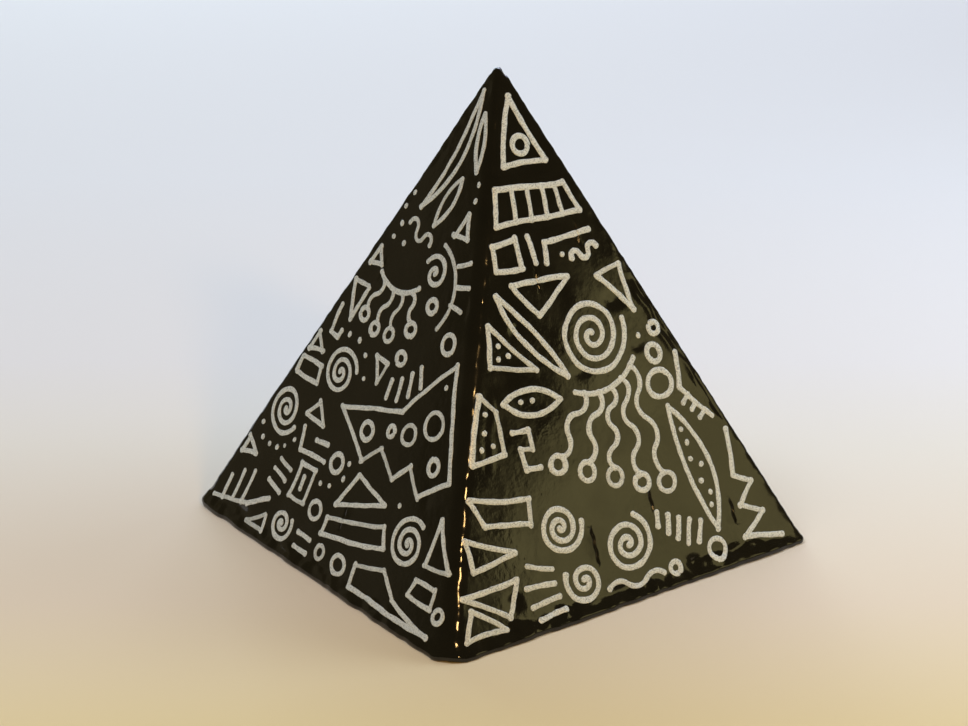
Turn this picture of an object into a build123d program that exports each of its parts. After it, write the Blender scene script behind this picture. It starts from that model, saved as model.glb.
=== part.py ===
from build123d import *
import math
import os

# A hand-painted wooden pyramid: a solid square-based block under a thick coat of
# black lacquer, with line drawings in raised marker paint on its four sides.
# Millimetres, +Z up, origin at the middle of the base, which rests on z = 0.
# It is one rigid object, and nothing on it moves.

# Driving dimensions
BASE = 90.0             # side of the square base, measured to the sharp corners
HEIGHT = 98.0           # height to the sharp apex
EDGE_RADIUS = 1.2       # radius of every edge, over the lacquer
COAT = 0.4              # thickness of the lacquer
BARE_SQUARE = 78.0      # side of the square left unpainted under the base
LINE_WIDTH = 1.2        # width of a marker line
LINE_DEPTH = 0.2        # height of a marker line above the lacquer
DOT_WIDTH = 1.5         # width of a marker dot

HALF = BASE / 2
SLOPE = math.degrees(math.atan2(HEIGHT, HALF))
MIDDLE = (Align.CENTER, Align.CENTER, Align.MIN)


# ---------------------------------------------------------------- block and coat
def rounded_pyramid(inset):
    """The pyramid with all its faces moved in by inset, and its edges rounded."""
    slope = math.radians(SLOPE)
    side_in = EDGE_RADIUS * (1 / math.sin(slope) + 1 / math.tan(slope))
    half = HALF - side_in
    rise = half * HEIGHT / HALF
    seed = Wedge(2 * half, rise, 2 * half, half, half, half, half,
                 rotation=(90, 0, 0), align=(Align.CENTER, Align.MIN, Align.CENTER))
    return offset(Pos(0, 0, EDGE_RADIUS) * seed, EDGE_RADIUS - inset, kind=Kind.ARC)


def wood_core():
    """The block: its unpainted end grain shows in the square under the base."""
    return rounded_pyramid(COAT)


def black_lacquer():
    """One closed coat over the four sides, lapping round the base edge."""
    window = Box(BARE_SQUARE, BARE_SQUARE, COAT, align=MIDDLE)
    return rounded_pyramid(0) - rounded_pyramid(COAT) - window


# ---------------------------------------------------------------- marker strokes
# Each side is drawn flat: x runs along the base edge from its middle, and y runs
# up the slope. A stroke is the flat shape that a round-tipped marker leaves.
def stroke(line):
    """The mark left along an open line, with round ends."""
    return Face(Wire(line).offset_2d(LINE_WIDTH / 2))


def outline(shape):
    """The mark left around a closed shape."""
    outer = offset(shape, LINE_WIDTH / 2, kind=Kind.ARC)
    inner = offset(shape, -LINE_WIDTH / 2, kind=Kind.INTERSECTION)
    return outer - inner


def arc(x1, y1, x2, y2, rise):
    """A round arc whose middle stands off the straight line, to its left, by rise."""
    long = math.hypot(x2 - x1, y2 - y1)
    middle = ((x1 + x2) / 2 - rise * (y2 - y1) / long, (y1 + y2) / 2 + rise * (x2 - x1) / long)
    return ThreePointArc((x1, y1), middle, (x2, y2)).edge()


def dot(x, y):
    return Pos(x, y) * Circle(DOT_WIDTH / 2)


def ring(x, y, radius):
    outer = Circle(radius + LINE_WIDTH / 2)
    return Pos(x, y) * (outer - Circle(radius - LINE_WIDTH / 2))


def bar(x1, y1, x2, y2):
    return stroke([Line((x1, y1), (x2, y2)).edge()])


def path(*points):
    return stroke(Polyline(*points).edges())


def loop(*points):
    return outline(Polygon(*points, align=None))


def bow(x1, y1, x2, y2, rise):
    return stroke([arc(x1, y1, x2, y2, rise)])


def leaf(x1, y1, x2, y2, rise_out, rise_back):
    """A closed shape of two arcs between its two tips."""
    edges = [arc(x1, y1, x2, y2, rise_out), arc(x2, y2, x1, y1, rise_back)]
    return outline(Face(Wire(edges)))


def wave_line(x1, y1, x2, y2, bends, rise):
    """Arcs that bend to the left and the right in turn and run into each other."""
    edges = []
    for i in range(bends):
        ends = [(x1 + (x2 - x1) * k / bends, y1 + (y2 - y1) * k / bends) for k in (i, i + 1)]
        edges.append(arc(*ends[0], *ends[1], rise if i % 2 == 0 else -rise))
    return edges


def wave(x1, y1, x2, y2, bends, rise):
    return stroke(wave_line(x1, y1, x2, y2, bends, rise))


def tassel(x1, y1, x2, y2, bends, rise, radius):
    """A wavy line that ends in a ring."""
    long = math.hypot(x2 - x1, y2 - y1)
    centre = (x2 + (x2 - x1) * radius / long, y2 + (y2 - y1) * radius / long)
    line = stroke(wave_line(x1, y1, x2, y2, bends, rise))
    inside = Pos(*centre) * Circle(radius - LINE_WIDTH / 2)
    return (line - inside) + ring(*centre, radius)


def spiral(x, y, radius, turns, heading, hand=1):
    """Half circles that grow by equal steps and end in the direction of heading."""
    halves = round(2 * turns)
    step = radius / (halves - 0.5)
    side = 1 if halves % 2 else -1
    here = -side * step / 2
    centre = side * step / 2
    edges = []
    for i in range(halves):
        there = here + side * (2 * i + 1) * step
        edges.append(arc(here + centre, 0, there + centre, 0, -hand * (i + 0.5) * step))
        here = there
        side = -side
    return Pos(x, y) * Rot(0, 0, heading) * stroke(edges)


def rays(x, y, count, inner, outer, first):
    """Straight bars that point away from a centre."""
    bars = []
    for i in range(count):
        angle = math.radians(first + 360 * i / count)
        across, up = math.cos(angle), math.sin(angle)
        bars.append(bar(x + inner * across, y + inner * up, x + outer * across, y + outer * up))
    return bars


def joined(*marks):
    """Marks that run into each other, as one."""
    return Sketch() + list(marks)


# ---------------------------------------------------------------- the four drawings
def front_drawing():
    """Spirals and a five-tassel fringe, with a ladder and a ringed triangle on top."""
    return {
        "spirals": [
            spiral(5.6, 52.2, 8.0, 3, 10),
            spiral(-12.6, 18.4, 5.0, 2.5, 0),
            spiral(1.6, 11.4, 5.8, 2.5, 60),
            spiral(-10.6, 7.2, 4.4, 2, 150, -1),
        ],
        "rings": [
            ring(0, 90.9, 1.8),
            ring(20.4, 50.2, 1.2),
            ring(18.8, 45.4, 1.7),
            ring(18.4, 39.2, 2.8),
            ring(22.4, 4.8, 2.1),
            ring(11.4, 3.8, 1.2),
        ],
        "dots": [
            dot(16.4, 49.4),
            dot(3.4, 68.6),
            dot(-16.3, 54.4),
            dot(-14.6, 52.2),
            dot(-17.0, 52.0),
            dot(-14.4, 43.2),
            dot(-11.8, 42.8),
            dot(-23.0, 42.6),
            dot(-24.2, 39.2),
            dot(-25.6, 36.4),
            dot(-23.0, 36.6),
            dot(20.9, 29.2),
            dot(21.6, 26.4),
            dot(21.4, 23.2),
            dot(23.5, 21.6),
            dot(22.6, 18.6),
            dot(24.2, 15.8),
            dot(23.7, 13.4),
        ],
        "triangles": [
            loop((0, 100.4), (-5.0, 87.2), (5.0, 87.2)),
            loop((-10.2, 65.0), (3.2, 64.2), (-5.2, 58.4)),
            loop((10.2, 62.9), (16.2, 64.3), (16.6, 54.6)),
            loop((-19.4, 50.8), (-17.2, 58.6), (-9.2, 48.2)),
            loop((-34.4, 21.2), (-34.0, 15.4), (-24.2, 16.4)),
            loop((-37.6, 11.0), (-25.4, 11.4), (-28.8, 5.2)),
            loop((-39.2, 3.3), (-36.4, 8.4), (-30.4, 3.3)),
        ],
        "boxes": [
            loop((-12.2, 73.2), (-12.6, 68.2), (-6.6, 67.8), (-6.4, 73.4)),
            loop((-31.2, 28.0), (-29.4, 23.0), (-19.0, 20.8), (-18.2, 25.2)),
            loop((-23.6, 46.2), (-28.4, 34.2), (-21.0, 34.6), (-20.6, 42.6)),
            joined(
                loop((-8.2, 83.4), (-9.8, 76.4), (10.0, 76.4), (7.8, 82.2)),
                bar(-5.2, 76.4, -4.6, 83.0),
                bar(-1.4, 76.4, -1.0, 82.8),
                bar(2.2, 76.4, 2.4, 82.6),
                bar(5.8, 76.4, 5.4, 82.4),
            ),
        ],
        "leaves": [
            leaf(-14.0, 63.6, -2.4, 45.6, 1.0, 2.2),
            leaf(-18.4, 43.6, -5.4, 41.6, 2.4, 2.6),
            leaf(19.0, 34.2, 24.0, 8.6, 4.2, 1.6),
        ],
        "bars": [
            bar(-3.4, 73.2, -3.0, 68.2),
            bar(10.2, 15.4, 9.6, 12.6),
            bar(12.6, 14.2, 11.6, 10.8),
            bar(15.0, 13.2, 13.6, 9.2),
            bar(17.6, 12.2, 15.8, 7.6),
            bar(20.2, 11.2, 18.4, 7.2),
            bar(-17.0, 11.2, -22.4, 13.2),
            bar(-17.2, 8.4, -23.6, 9.2),
            bar(-17.2, 5.8, -23.4, 5.6),
            bar(-16.4, 3.2, -22.2, 2.9),
        ],
        "zigzags": [
            path((-0.6, 67.6), (0.2, 71.6), (10.6, 72.4)),
            wave(5.4, 67.4, 11.6, 68.8, 3, 1.2),
            path((31.6, 27.0), (30.4, 17.6), (35.0, 15.8), (30.6, 11.4), (36.0, 8.8), (30.0, 5.0), (39.4, 3.2)),
            path((-18.2, 38.2), (-14.4, 37.8), (-14.8, 34.2), (-17.4, 34.4), (-17.0, 30.6), (-13.8, 30.2)),
            wave(-5.2, 4.0, 8.6, 3.6, 3, 0.9),
            joined(
                path((24.0, 44.6), (23.0, 37.6), (29.2, 30.2)),
                bar(24.7, 35.6, 23.2, 34.3),
                bar(26.3, 33.7, 24.8, 32.4),
                bar(27.9, 31.8, 26.4, 30.5),
            ),
        ],
        "tassels": [
            joined(
                bow(-1.4, 42.0, 13.8, 45.6, -2.6),
                tassel(0.4, 41.4, -8.6, 31.2, 3, 1.2, 1.7),
                tassel(3.7, 40.9, -2.6, 28.8, 3, 1.2, 1.8),
                tassel(6.8, 41.3, 3.0, 26.2, 4, 1.2, 1.8),
                tassel(9.8, 42.4, 8.8, 23.4, 4, 1.2, 1.7),
                tassel(12.5, 44.3, 14.4, 22.4, 4, 1.2, 1.9),
            ),
        ],
    }


def left_drawing():
    """A rayed bow and four tassels over a jagged shape full of rings."""
    return {
        "spirals": [
            spiral(4.0, 65.2, 3.6, 1.5, 150),
            spiral(-13.8, 39.4, 5.0, 2.5, 20, -1),
            spiral(-26.6, 27.2, 5.3, 2.5, 330),
            spiral(23.0, 16.4, 5.2, 2.5, 60, -1),
            spiral(-15.4, 6.2, 3.6, 2, 30),
        ],
        "rings": [
            ring(6.4, 59.2, 1.4),
            ring(14.8, 54.0, 1.9),
            ring(2.6, 47.2, 1.3),
            ring(0.2, 31.6, 1.8),
            ring(7.2, 33.8, 1.1),
            ring(12.6, 34.8, 2.0),
            ring(18.8, 38.6, 2.6),
            ring(22.6, 31.8, 1.5),
            ring(-5.2, 22.6, 1.9),
            ring(37.9, 7.6, 1.3),
            ring(5.8, 5.4, 1.9),
            ring(-0.8, 5.4, 1.4),
            ring(-6.6, 12.4, 1.8),
        ],
        "dots": [
            dot(7.2, 84.2),
            dot(7.9, 81.0),
            dot(-10.4, 78.0),
            dot(-11.6, 74.8),
            dot(-11.0, 71.4),
            dot(-12.2, 68.4),
            dot(-8.6, 68.0),
            dot(-15.0, 47.0),
            dot(-11.4, 46.8),
            dot(-8.2, 44.6),
            dot(-6.2, 40.4),
            dot(17.0, 22.0),
            dot(-32.6, 22.4),
            dot(-31.2, 19.6),
            dot(-28.4, 19.0),
            dot(-25.6, 19.2),
            dot(-23.2, 20.2),
            dot(-20.6, 22.4),
            dot(-1.4, 23.8),
            dot(-1.6, 20.6),
            dot(-5.0, 18.0),
            dot(-8.0, 17.4),
            dot(18.6, 46.4),
        ],
        "triangles": [
            loop((7.4, 78.0), (9.8, 73.4), (5.4, 73.2)),
            loop((-14.6, 65.6), (-16.4, 61.8), (-12.8, 62.0)),
            loop((-19.2, 57.4), (-14.2, 57.0), (-16.6, 49.8)),
            loop((-24.4, 44.6), (-26.0, 40.4), (-21.4, 41.2)),
            loop((-16.6, 31.8), (-19.4, 28.4), (-13.2, 27.8)),
            loop((-4.6, 45.6), (-0.6, 45.0), (-2.0, 40.8)),
            loop((-35.0, 18.2), (-36.4, 14.6), (-31.6, 15.8)),
            loop((2.8, 22.8), (12.8, 20.4), (-1.0, 15.6)),
            loop((30.2, 23.6), (36.6, 15.4), (29.4, 14.8)),
            loop((-21.4, 5.9), (-27.0, 2.9), (-20.6, 2.9)),
        ],
        "boxes": [
            loop((-27.0, 38.6), (-27.4, 35.2), (-19.8, 35.2), (-20.0, 38.4)),
            loop((-15.8, 19.2), (-16.4, 12.0), (-11.0, 12.2), (-10.8, 19.0)),
            loop((-2.2, 12.6), (-2.4, 9.2), (16.8, 13.0), (14.8, 17.0)),
            loop((28.6, 11.2), (27.8, 8.2), (35.0, 8.0), (34.6, 11.4)),
            loop((10.4, 7.4), (19.0, 9.4), (24.0, 5.6), (37.0, 3.0), (10.8, 3.2)),
            loop((-9.6, 33.6), (8.4, 38.4), (19.4, 51.2), (28.2, 30.4), (20.8, 25.2),
                 (16.2, 29.6), (12.2, 25.4), (6.4, 29.8), (1.8, 25.8)),
        ],
        "leaves": [
            leaf(-0.6, 101, -7.0, 76, 3.6, -1.0),
            leaf(2.1, 97.0, 5.1, 86.4, 1.0, 1.1),
            leaf(1.8, 84.0, -1.4, 73.6, 1.8, 1.4),
        ],
        "bars": [
            bar(2.2, 39.2, 2.2, 42.8),
            bar(5.4, 40.0, 5.0, 43.8),
            bar(8.4, 41.6, 7.4, 45.4),
            bar(11.0, 44.2, 9.4, 47.4),
            bar(-13.6, 24.6, -9.8, 24.8),
            bar(-22.8, 17.6, -18.6, 16.6),
            bar(-23.6, 15.2, -19.2, 14.0),
            bar(-24.2, 12.6, -19.8, 11.4),
            bar(-13.6, 16.8, -13.7, 14.4),
            bar(-9.2, 6.8, -5.0, 6.6),
            bar(-9.4, 3.9, -5.2, 3.6),
        ],
        "zigzags": [
            path((-20.6, 51.8), (-20.8, 45.6), (-18.2, 45.2), (-17.8, 46.8)),
            path((-18.6, 25.8), (-17.8, 21.4), (-9.4, 21.4)),
            wave(-8.6, 72.4, -0.6, 69.8, 3, 1.4),
            joined(
                path((-40.2, 3.4), (-28.8, 5.8), (-22.2, 9.2)),
                bar(-37.4, 4.0, -36.8, 8.8),
                bar(-34.2, 4.7, -33.2, 11.4),
                bar(-31.0, 5.3, -29.8, 12.4),
            ),
            joined(
                bow(4.0, 70.8, 9.8, 55.6, 4.2),
                bar(9.9, 68.4, 12.8, 69.6),
                bar(11.2, 64.6, 14.6, 65.2),
                bar(11.2, 61.0, 14.6, 60.6),
            ),
        ],
        "tassels": [
            joined(
                bow(-11.8, 60.8, 0.8, 61.2, -2.2),
                tassel(-10.2, 59.7, -12.4, 53.2, 2, 0.8, 1.3),
                tassel(-6.6, 58.8, -8.0, 51.6, 2, 0.8, 1.3),
                tassel(-3.4, 58.9, -3.2, 51.8, 2, 0.8, 1.4),
                tassel(-0.6, 60.0, 2.0, 54.4, 2, 0.8, 1.4),
            ),
        ],
    }


def right_drawing():
    """A rayed spiral in the middle, with leaves above and a row of shapes below."""
    return {
        "spirals": [
            spiral(0, 39, 8.6, 3, 90),
            spiral(-25.0, 13.0, 5.8, 2.5, 0),
            spiral(25.6, 14.0, 5.4, 2.5, 180, -1),
            spiral(-1.4, 66.6, 4.4, 2, 60, -1),
        ],
        "rings": [
            ring(0.2, 88.0, 1.6),
            ring(9.4, 67.6, 1.5),
            ring(-12.4, 56.0, 2.1),
            ring(17.6, 52.0, 1.4),
            ring(-19.2, 43.8, 1.3),
            ring(8.8, 20.4, 2.2),
            ring(-9.2, 20.2, 1.6),
            ring(37.4, 6.8, 1.4),
            ring(12.4, 5.2, 1.9),
            ring(-14.4, 5.4, 2.0),
        ],
        "dots": [
            dot(-5.4, 80.8),
            dot(5.8, 80.4),
            dot(12.2, 61.6),
            dot(-16.0, 60.0),
            dot(14.8, 58.4),
            dot(-17.8, 50.4),
            dot(21.6, 45.2),
            dot(-24.4, 35.4),
            dot(25.2, 35.4),
            dot(-25.6, 28.4),
            dot(26.2, 27.6),
            dot(0, 23.2),
            dot(-3.2, 20.6),
            dot(3.0, 20.4),
            dot(-34.3, 20.4),
            dot(34.6, 19.4),
            dot(-33.2, 4.6),
        ],
        "triangles": [
            loop((0.2, 99.8), (-4.4, 84.2), (4.8, 84.2)),
            loop((-10.8, 73.0), (-12.2, 63.4), (-7.8, 66.4)),
            loop((18.4, 49.0), (15.0, 45.0), (20.6, 40.0)),
            loop((-29.8, 29.8), (-33.4, 23.2), (-27.0, 23.4)),
            loop((30.4, 29.4), (28.0, 22.8), (33.6, 23.2)),
            loop((-40.2, 3.3), (-36.2, 10.4), (-34.4, 7.4)),
            loop((-4.6, 3.4), (0.4, 10.8), (4.8, 3.4)),
        ],
        "boxes": [
            loop((-5.6, 77.6), (-7.2, 73.4), (8.2, 73.4), (6.6, 77.6)),
            loop((-21.6, 31.4), (-22.6, 22.6), (-16.4, 22.2), (-16.0, 28.6)),
            loop((17.0, 28.4), (15.6, 22.4), (22.4, 22.0), (23.4, 30.6)),
            loop((19.4, 6.6), (18.2, 3.4), (33.4, 3.2), (30.8, 6.4)),
        ],
        "leaves": [
            leaf(2.8, 71.0, 6.6, 57.4, 1.6, 1.2),
            leaf(-2.8, 60.4, -8.6, 52.6, 1.8, 1.6),
            leaf(-21.6, 47.2, -25.0, 39.6, 0.9, 1.1),
            leaf(9.4, 15.0, -8.6, 14.8, 2.0, -0.2),
        ],
        "bars": [
            *rays(0, 39, 14, 11.0, 13.8, 0),
            bar(-32.0, 17.4, -35.6, 17.8),
            bar(-32.8, 14.2, -37.0, 14.2),
            bar(-31.6, 9.4, -34.0, 11.0),
            bar(-25.8, 5.0, -18.8, 3.4),
        ],
        "zigzags": [
            wave(10.6, 54.8, 3.6, 54.6, 3, 1.2),
            path((-20.8, 19.4), (-16.6, 15.2), (-13.6, 18.6), (-11.8, 12.4), (-17.4, 10.0)),
            path((12.6, 18.2), (15.6, 13.2), (11.2, 10.6), (17.6, 9.2)),
            wave(22.6, 33.8, 17.4, 37.4, 2, 1.0),
        ],
        "tassels": [
            joined(
                bow(32.2, 17.0, 37.6, 12.2, 1.0),
                tassel(33.9, 16.8, 32.8, 11.4, 2, 0.6, 1.2),
            ),
            joined(
                bow(-11.8, 8.6, -5.2, 11.6, -1.2),
                tassel(-8.0, 8.9, -7.4, 5.4, 1, 0.5, 1.1),
            ),
        ],
    }


def back_drawing():
    """Nested triangles over long waves, a fringe and a zigzag along the base."""
    return {
        "spirals": [
            spiral(-20.6, 38.0, 4.6, 2, 0, -1),
            spiral(20.8, 37.4, 4.8, 2, 200),
            spiral(-28.0, 17.6, 5.0, 2.5, 250, -1),
            spiral(28.4, 18.2, 5.0, 2.5, 20),
        ],
        "rings": [
            ring(-0.4, 92.6, 1.7),
            ring(0, 80.6, 2.6),
            ring(-14.0, 58.6, 1.4),
            ring(14.4, 58.0, 1.6),
            ring(19.4, 46.8, 1.3),
            ring(-33.8, 6.0, 1.8),
            ring(34.0, 5.8, 1.8),
        ],
        "dots": [
            dot(0, 98.0),
            dot(0, 87.4),
            dot(-6.4, 82.0),
            dot(6.6, 81.6),
            dot(0, 53.0),
            dot(-3.2, 50.6),
            dot(3.2, 50.6),
            dot(-16.6, 54.4),
            dot(17.8, 53.6),
            dot(-19.8, 46.8),
            dot(-11.8, 31.4),
            dot(12.0, 31.2),
            dot(-35.6, 14.0),
            dot(36.0, 13.0),
            dot(-30.0, 27.4),
            dot(30.4, 27.2),
            dot(0, 7.4),
        ],
        "triangles": [
            loop((-13.2, 45.6), (13.2, 45.6), (0, 67.8)),
            loop((-7.8, 48.0), (7.8, 48.0), (0, 60.4)),
            loop((-10.2, 72.6), (-12.6, 64.6), (-7.2, 65.0)),
            loop((10.4, 72.4), (7.4, 64.8), (12.8, 64.2)),
            loop((-21.0, 27.2), (-16.2, 27.6), (-18.6, 20.6)),
            loop((21.2, 26.8), (16.4, 27.4), (18.8, 20.4)),
        ],
        "boxes": [
            loop((-4.4, 75.4), (-5.4, 71.0), (5.4, 71.0), (4.4, 75.4)),
            loop((-24.4, 33.0), (-28.0, 30.4), (-25.4, 25.6), (-23.6, 27.4)),
            loop((24.6, 32.4), (28.0, 29.8), (25.6, 25.4), (23.8, 27.0)),
            loop((-4.2, 4.6), (-3.6, 10.4), (3.8, 10.2), (4.4, 4.4)),
        ],
        "leaves": [
            leaf(-12.6, 10.6, -20.6, 13.8, 1.4, 1.2),
            leaf(12.8, 10.8, 20.8, 13.4, 1.4, 1.2),
        ],
        "bars": [
            bar(-22.4, 49.2, -23.6, 43.8),
            bar(-20.0, 53.8, -21.0, 50.0),
            bar(21.9, 50.6, 23.3, 45.0),
            bar(-27.6, 37.6, -29.0, 34.0),
            bar(27.6, 36.8, 28.9, 33.4),
            bar(-7.6, 4.2, -7.8, 9.6),
            bar(7.8, 4.0, 7.8, 9.4),
        ],
        "zigzags": [
            wave(-13.8, 41.8, 13.8, 41.8, 7, 0.9),
            wave(-12.6, 38.2, 12.8, 38.2, 6, 0.9),
            path((-38.6, 3.4), (-36.4, 9.4), (-34.2, 9.6)),
            path((-29.6, 4.0), (-26.0, 9.6), (-22.2, 4.0), (-18.2, 9.4), (-14.6, 4.0), (-11.0, 7.4)),
            path((29.8, 3.8), (26.2, 9.4), (22.4, 3.8), (18.4, 9.2), (14.8, 3.8), (11.2, 7.2)),
            path((39.4, 3.4), (37.4, 8.8)),
        ],
        "tassels": [
            joined(
                bow(-9.8, 34.6, 10.0, 34.6, -1.6),
                tassel(-8.4, 34.2, -11.4, 22.6, 3, 1.0, 1.6),
                tassel(-4.4, 33.3, -5.4, 18.8, 4, 1.0, 1.7),
                tassel(0.2, 33.0, 0.2, 16.6, 4, 1.0, 1.7),
                tassel(4.6, 33.3, 5.8, 18.6, 4, 1.0, 1.7),
                tassel(8.6, 34.2, 11.8, 22.4, 3, 1.0, 1.6),
            ),
        ],
    }


# ---------------------------------------------------------------- assembly
DRAWINGS = {
    "front": (front_drawing, 0),
    "right": (right_drawing, 90),
    "back": (back_drawing, 180),
    "left": (left_drawing, 270),
}


def side_plane(turn):
    """The flat plane of one side: the front one faces -Y, the others are turned from it."""
    slope = math.radians(SLOPE)
    front = Plane(origin=(0, -HALF, 0), x_dir=(1, 0, 0), z_dir=(0, -math.sin(slope), math.cos(slope)))
    return Rot(0, 0, turn) * front.location


def raised(marks, place):
    """Flat marks given the depth of the paint and laid on one side."""
    solids = []
    for mark in marks:
        solids += [place * solid for solid in extrude(mark, LINE_DEPTH, dir=(0, 0, 1)).solids()]
    return Compound(children=solids)


def write(shape, name):
    export_step(shape, f"parts/{name}.step")


def build():
    os.makedirs("parts", exist_ok=True)
    write(wood_core(), "wood_core")
    write(black_lacquer(), "black_lacquer")
    for side, (drawing, turn) in DRAWINGS.items():
        for kind, marks in drawing().items():
            write(raised(marks, side_plane(turn)), f"{side}_{kind}")


build()
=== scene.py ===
import math

import bpy
import numpy as np
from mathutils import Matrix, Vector, noise


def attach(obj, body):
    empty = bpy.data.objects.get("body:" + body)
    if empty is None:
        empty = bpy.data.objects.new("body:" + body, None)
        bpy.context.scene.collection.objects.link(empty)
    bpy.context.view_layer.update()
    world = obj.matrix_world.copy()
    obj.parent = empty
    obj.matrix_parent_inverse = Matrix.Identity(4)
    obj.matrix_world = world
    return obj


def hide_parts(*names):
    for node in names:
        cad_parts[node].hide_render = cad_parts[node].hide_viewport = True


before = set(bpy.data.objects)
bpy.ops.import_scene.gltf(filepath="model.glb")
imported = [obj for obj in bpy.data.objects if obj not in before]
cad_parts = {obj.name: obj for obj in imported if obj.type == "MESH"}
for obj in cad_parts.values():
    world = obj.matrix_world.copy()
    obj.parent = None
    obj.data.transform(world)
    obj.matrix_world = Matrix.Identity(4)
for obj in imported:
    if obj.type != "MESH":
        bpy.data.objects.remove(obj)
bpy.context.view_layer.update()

MM = 0.001

# ------------------------------------------------------------------ the wooden block
# A solid block of light wood sawn to a square pyramid, with the grain running up it.
# Its edges are sanded round by hand, each by a different amount. Only the end grain
# under the base is left bare.
HALF = 45.0 * MM                  # half the base side, to the sharp corners
HEIGHT = 98.0 * MM                # height to the sharp apex
SLOPE = math.atan2(HEIGHT, HALF)  # of each side, from the base
TIP_RADIUS = 1.0 * MM
BASE_RADIUS = 0.6 * MM
EDGES = (0.9 * MM, 1.4 * MM, 1.5 * MM, 2.7 * MM)      # right, back-right, back-left and front edge
EDGE_GROWTH = (0.5 * MM, 0.5 * MM, 0.8 * MM, 2.0 * MM)  # how much rounder each gets at its foot
EDGE_START = 0.25                 # share of the way down where each has its full radius
FOOT_START, FOOT_SPAN = 0.8, 0.2  # share of the way down where it starts to grow, and over which
COAT = 0.4 * MM                   # thickness of the lacquer over the block
LEAST_RADIUS = 0.3 * MM
# Sides and edges are counted from the front or its right end: 0, right 1, back 2, left 3.


def slerp(a, b, t):
    """Unit vectors part of the way round from a to b."""
    angle = np.arccos(np.clip(np.sum(a * b, axis=-1, keepdims=True), -1, 1))
    angle = np.maximum(angle, 1e-6)
    return (np.sin((1 - t) * angle) * a + np.sin(t * angle) * b) / np.sin(angle)


def side_axes(side):
    """Along the base edge, out of the side level with the floor, and square to the side."""
    turn = side * math.pi / 2
    along = np.stack([np.cos(turn), np.sin(turn), 0 * turn], -1)
    out = np.stack([np.sin(turn), -np.cos(turn), 0 * turn], -1)
    square = math.sin(SLOPE) * out + math.cos(SLOPE) * np.array([0, 0, 1.0])
    return along, out, square


def edge_radius(edge, down, inset):
    """Radius of a sloping edge, from the tip (down = 0) to its foot (down = 1)."""
    full = np.array(EDGES)[edge % 4]
    foot = np.array(EDGE_GROWTH)[edge % 4]
    grown = np.clip(down / EDGE_START, 0, 1)
    grown = grown * grown * (3 - 2 * grown)
    rounder = foot * np.clip((down - FOOT_START) / FOOT_SPAN, 0, 1) ** 2
    return np.maximum(TIP_RADIUS + (full - TIP_RADIUS) * grown + rounder - inset, LEAST_RADIUS)


def block_columns(across, around):
    """Side, place across the side and turn round its right edge, for each column."""
    side, place, turn = [], [], []
    for k in range(4):
        side += [k] * (across + around)
        place += list(np.linspace(0, 1, across)) + [1.0] * around
        turn += [0.0] * across + [(i + 1) / (around + 1) for i in range(around)]
    return np.array(side), np.array(place), np.array(turn)[:, None]


def block_rows(inset, across, around, down_rows, tip_rows=6, foot_rows=8, shift=None):
    """Rows of points over a pyramid with round edges, from its tip down to under its base.
    Returns the points, their outward directions, and which side each column is on."""
    side, place, turn = block_columns(across, around)
    along, out, square = side_axes(side)
    facing = slerp(square, side_axes(side + 1)[2], turn)
    down = 1 - np.linspace(1, 0, down_rows)[:, None] ** 1.25
    left, right = edge_radius(side - 1, down, inset), edge_radius(side, down, inset)
    radius = left + (right - left) * place
    tip = max(TIP_RADIUS - inset, LEAST_RADIUS)
    top = HEIGHT * (1 - (inset + tip) / (math.sin(SLOPE) * HALF))
    foot = inset + BASE_RADIUS

    def level(r):
        last = foot + (BASE_RADIUS - r[-1:]) * math.cos(SLOPE)
        return top + (last - top) * down

    def reach(r):
        return np.maximum(HALF * (1 - level(r) / HEIGHT) - (inset + r) / math.sin(SLOPE), 0)

    spot = -reach(left) + (reach(right) + reach(left)) * place
    if shift is not None:
        spot = shift(spot, (level(radius) + radius * math.cos(SLOPE)) / math.sin(SLOPE), side)
    inner = spot[..., None] * along + reach(radius)[..., None] * out
    inner[..., 2] = level(radius)
    slope = inner + radius[..., None] * facing
    up = np.broadcast_to(np.array([0, 0, 1.0]), facing.shape)
    tips = [slerp(up, facing, (i + 1) / tip_rows) for i in range(tip_rows - 1)]
    tip_points = [np.array([0, 0, top]) + tip * d for d in tips]
    centre = slope[-1] - BASE_RADIUS * facing
    feet = [slerp(facing, -up, (i + 1) / foot_rows) for i in range(foot_rows)]
    foot_points = [centre + BASE_RADIUS * d for d in feet]
    points = np.concatenate([np.array(tip_points), slope, np.array(foot_points)])
    facings = np.concatenate([np.array(tips), np.broadcast_to(facing, slope.shape), np.array(feet)])
    return points, facings, side


def closed_mesh(name, rows, first, last, material):
    """One object from rows of points, with a pole at each end, smooth all over."""
    count, columns = rows.shape[:2]
    here = np.arange(columns)
    there = (here + 1) % columns
    quads = []
    for i in range(count - 1):
        a, b = i * columns, (i + 1) * columns
        quads.append(np.stack([a + here, b + here, b + there, a + there], -1))
    quads = np.concatenate(quads)
    poles = [count * columns, count * columns + 1]
    end = (count - 1) * columns
    tris = np.concatenate([
        np.stack([np.full(columns, poles[0]), here, there], -1),
        np.stack([np.full(columns, poles[1]), end + there, end + here], -1),
    ])
    points = np.concatenate([rows.reshape(-1, 3), [first, last]])
    mesh = bpy.data.meshes.new(name)
    mesh.from_pydata(points.tolist(), [], quads.tolist() + tris.tolist())
    mesh.polygons.foreach_set("use_smooth", [True] * len(mesh.polygons))
    mesh.materials.append(material)
    piece = bpy.data.objects.new(name, mesh)
    bpy.context.scene.collection.objects.link(piece)
    return piece


def linear(colour):
    """A linear colour from an sRGB hex value."""
    parts = [int(colour[i:i + 2], 16) / 255 for i in (1, 3, 5)]
    return tuple(c / 12.92 if c <= 0.04045 else ((c + 0.055) / 1.055) ** 2.4 for c in parts) + (1.0,)


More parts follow.
